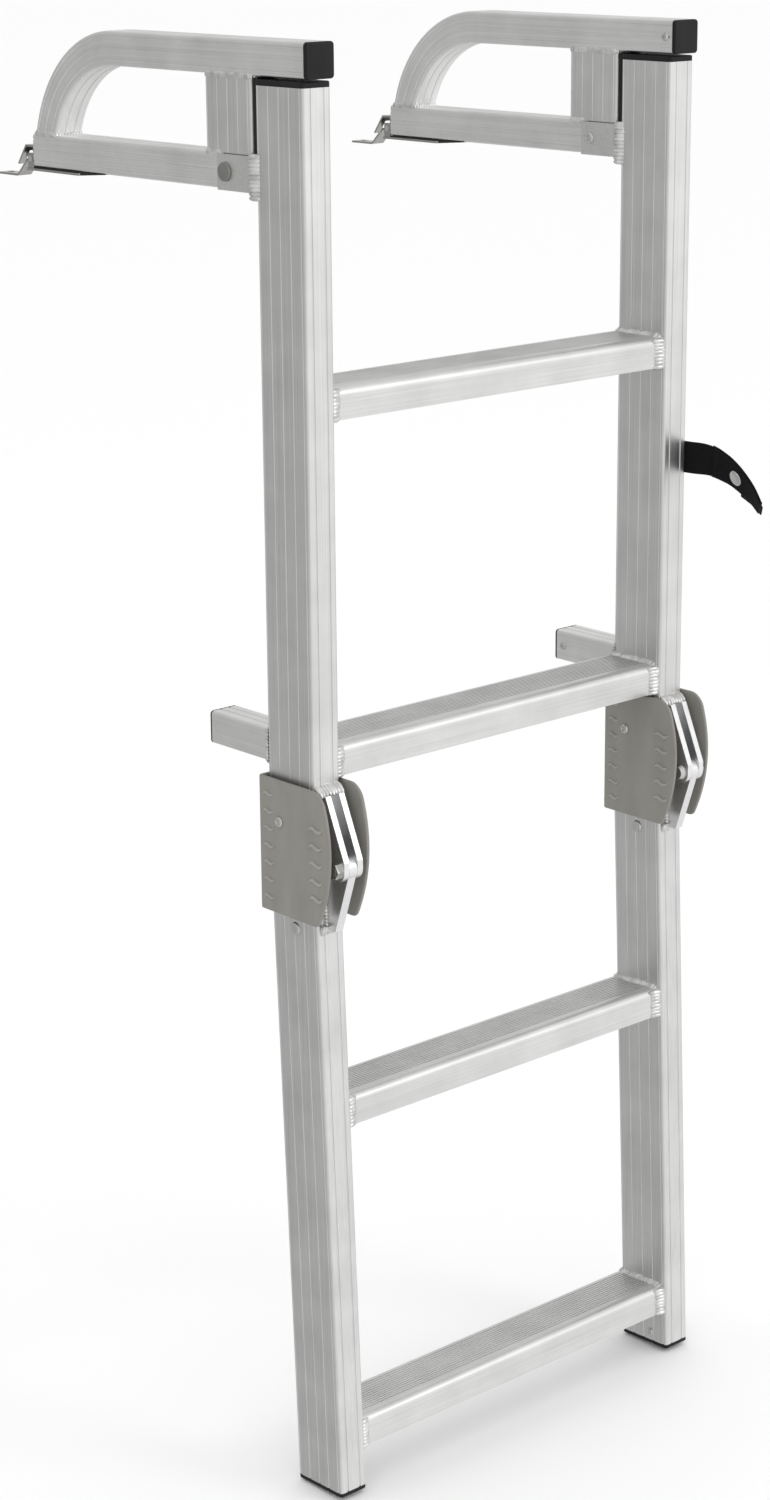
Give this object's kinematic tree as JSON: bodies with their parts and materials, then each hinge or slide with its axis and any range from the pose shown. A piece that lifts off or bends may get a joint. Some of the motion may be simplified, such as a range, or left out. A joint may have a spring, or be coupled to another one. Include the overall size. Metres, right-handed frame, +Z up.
{
  "type": "boat boarding ladder",
  "caption": "Folding aluminium boarding ladder that hangs from a boat's deck by two hinged handle arms, with a lower section that folds up in front.",
  "frame": {"origin": "midway between the rails, on the deck surface, at the back faces of the upper rails", "axes": "+X across the ladder to its right side as a climber sees it, +Y towards the boat, +Z up along the upper rails"},
  "size_m": [0.4064, 0.4498, 1.0932],
  "materials": {
    "rail_aluminium": "satin anodised extrusion with fine lengthwise brushing",
    "step_aluminium": "satin anodised extrusion, grooved tread",
    "plate_aluminium": "bead blasted plate",
    "machined_aluminium": "sawn and polished plate edges",
    "fastener_steel": "polished stainless steel",
    "spring_steel": "stainless sheet, bright",
    "guard_plastic": "warm grey moulded plastic with a fine spark texture",
    "black_plastic": "moulded black plastic",
    "black_rubber": "black rubber",
    "nylon": "natural nylon",
    "webbing": "black woven nylon webbing"
  },
  "bodies": {
    "left_arm": {"left_deck_bar": "rail_aluminium", "left_deck_pad": "black_rubber", "left_deck_plate": "spring_steel", "left_handle_cap": "black_plastic", "left_handle_cap_screw": "fastener_steel", "left_handle_tube": "rail_aluminium", "left_latch_hood": "spring_steel", "left_latch_pin": "fastener_steel", "left_latch_spring": "spring_steel", "left_pivot_bush": "nylon", "left_plate_screws": "fastener_steel", "left_post": "rail_aluminium", "left_post_bumper": "black_rubber"},
    "right_arm": {"right_deck_bar": "rail_aluminium", "right_deck_pad": "black_rubber", "right_deck_plate": "spring_steel", "right_handle_cap": "black_plastic", "right_handle_cap_screw": "fastener_steel", "right_handle_tube": "rail_aluminium", "right_latch_hood": "spring_steel", "right_latch_pin": "fastener_steel", "right_latch_spring": "spring_steel", "right_pivot_bush": "nylon", "right_plate_screws": "fastener_steel", "right_post": "rail_aluminium", "right_post_bumper": "black_rubber"},
    "upper_section": {"fold_bolts": "fastener_steel", "fold_nuts": "fastener_steel", "guard_screws": "fastener_steel", "left_hinge_guard": "guard_plastic", "left_hinge_plates": "machined_aluminium", "left_pivot_bracket": "plate_aluminium", "left_standoff": "rail_aluminium", "left_upper_rail": "rail_aluminium", "pivot_pins": "fastener_steel", "pivot_screws": "fastener_steel", "rail_top_caps": "black_plastic", "right_hinge_guard": "guard_plastic", "right_hinge_plates": "machined_aluminium", "right_pivot_bracket": "plate_aluminium", "right_standoff": "rail_aluminium", "right_upper_rail": "rail_aluminium", "standoff_caps": "black_plastic", "standoff_screws": "fastener_steel", "step_1": "step_aluminium", "step_2": "step_aluminium", "strap": "webbing", "strap_screw": "fastener_steel", "strap_snap": "fastener_steel"},
    "lower_section": {"foot_caps": "black_plastic", "foot_screws": "fastener_steel", "left_hinge_tongue": "machined_aluminium", "left_lower_rail": "rail_aluminium", "right_hinge_tongue": "machined_aluminium", "right_lower_rail": "rail_aluminium", "step_3": "step_aluminium", "step_4": "step_aluminium", "stop_rivets": "fastener_steel"},
    "left_latch": {"left_latch_tongue": "spring_steel"},
    "right_latch": {"right_latch_tongue": "spring_steel"}
  },
  "joints": [
    {"name": "left_arm_fold", "type": "hinge", "parent": "left_arm", "child": "upper_section", "pos_m": [-0.181, 0.0302, 0.0155], "axis": [1, 0, 0], "range_deg": [0, 90]},
    {"name": "right_arm_fold", "type": "hinge", "parent": "upper_section", "child": "right_arm", "pos_m": [0.181, 0.0302, 0.0155], "axis": [1, 0, 0], "range_deg": [-90, 0]},
    {"name": "lower_fold", "type": "hinge", "parent": "upper_section", "child": "lower_section", "pos_m": [0, -0.0708, -0.477], "axis": [-1, 0, 0], "range_deg": [0, 177]},
    {"name": "left_latch_lift", "type": "hinge", "parent": "left_arm", "child": "left_latch", "pos_m": [-0.181, 0.271, 0.0086], "axis": [1, 0, 0], "range_deg": [0, 9], "stiffness_Nm_per_rad": 0.05, "springref_deg": -14.32},
    {"name": "right_latch_lift", "type": "hinge", "parent": "right_arm", "child": "right_latch", "pos_m": [0.181, 0.271, 0.0086], "axis": [1, 0, 0], "range_deg": [0, 9], "stiffness_Nm_per_rad": 0.05, "springref_deg": -14.32}
  ],
  "couplings": [
    {"joint": "right_arm_fold", "follows": "left_arm_fold", "ratio": -1}
  ]
}
